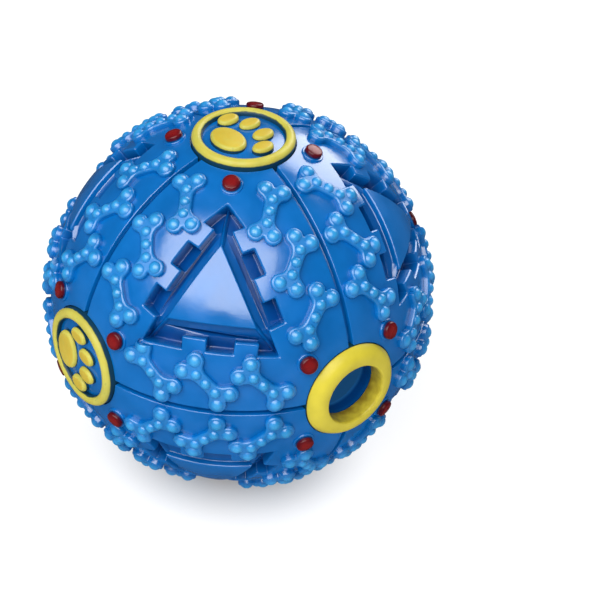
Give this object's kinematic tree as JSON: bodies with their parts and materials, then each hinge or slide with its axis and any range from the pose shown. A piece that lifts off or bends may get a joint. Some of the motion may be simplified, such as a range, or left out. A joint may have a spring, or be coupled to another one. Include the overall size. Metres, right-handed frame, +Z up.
{
  "type": "squeaky treat ball",
  "caption": "Hollow soft vinyl pet ball with raised bones, paw badges and a round feed mouth for dry treats, with a sliding reed squeaker inside that sounds as the ball rolls.",
  "frame": {"origin": "centre of the ball", "axes": "+Z up through the top paw badge, -Y out of the feed mouth, -X through the left paw badge"},
  "size_m": [0.116, 0.116, 0.116],
  "materials": {
    "blue_vinyl": "glossy soft vinyl",
    "yellow_vinyl": "glossy soft vinyl",
    "red_vinyl": "glossy soft vinyl",
    "tube_plastic": "satin moulded plastic",
    "white_plastic": "satin moulded plastic",
    "steel": "bare steel",
    "reed_film": "thin plastic strip"
  },
  "bodies": {
    "ball": {"shell_front": "blue_vinyl", "shell_rear": "blue_vinyl", "feed_ring": "yellow_vinyl", "paw_badge_top": "yellow_vinyl", "paw_badge_bottom": "yellow_vinyl", "paw_badge_left": "yellow_vinyl", "paw_badge_right": "yellow_vinyl", "paw_badge_rear": "yellow_vinyl", "badge_field_top": "blue_vinyl", "badge_field_bottom": "blue_vinyl", "badge_field_left": "blue_vinyl", "badge_field_right": "blue_vinyl", "badge_field_rear": "blue_vinyl", "pip_top_1": "red_vinyl", "pip_top_2": "red_vinyl", "pip_top_3": "red_vinyl", "pip_top_4": "red_vinyl", "pip_bottom_1": "red_vinyl", "pip_bottom_2": "red_vinyl", "pip_bottom_3": "red_vinyl", "pip_bottom_4": "red_vinyl", "pip_left_1": "red_vinyl", "pip_left_2": "red_vinyl", "pip_left_3": "red_vinyl", "pip_left_4": "red_vinyl", "pip_right_1": "red_vinyl", "pip_right_2": "red_vinyl", "pip_right_3": "red_vinyl", "pip_right_4": "red_vinyl", "pip_front_1": "red_vinyl", "pip_front_2": "red_vinyl", "pip_front_3": "red_vinyl", "pip_front_4": "red_vinyl", "pip_rear_1": "red_vinyl", "pip_rear_2": "red_vinyl", "pip_rear_3": "red_vinyl", "pip_rear_4": "red_vinyl", "sounder_tube": "tube_plastic", "sounder_cap_top": "white_plastic", "sounder_cap_bottom": "white_plastic"},
    "slider": {"reed_carriage": "white_plastic", "reed_weight": "steel", "reed_clamp": "white_plastic"},
    "reed": {"sounder_reed": "reed_film"}
  },
  "joints": [
    {"name": "reed_slide", "type": "slide", "parent": "ball", "child": "slider", "axis": [0, 0, 1], "range_m": [0, 0.0274]},
    {"name": "reed_flex", "type": "hinge", "parent": "slider", "child": "reed", "pos_m": [0, 0.02188, -0.0057], "axis": [1, 0, 0], "range_deg": [-4, 4], "stiffness_Nm_per_rad": 0.0002}
  ]
}
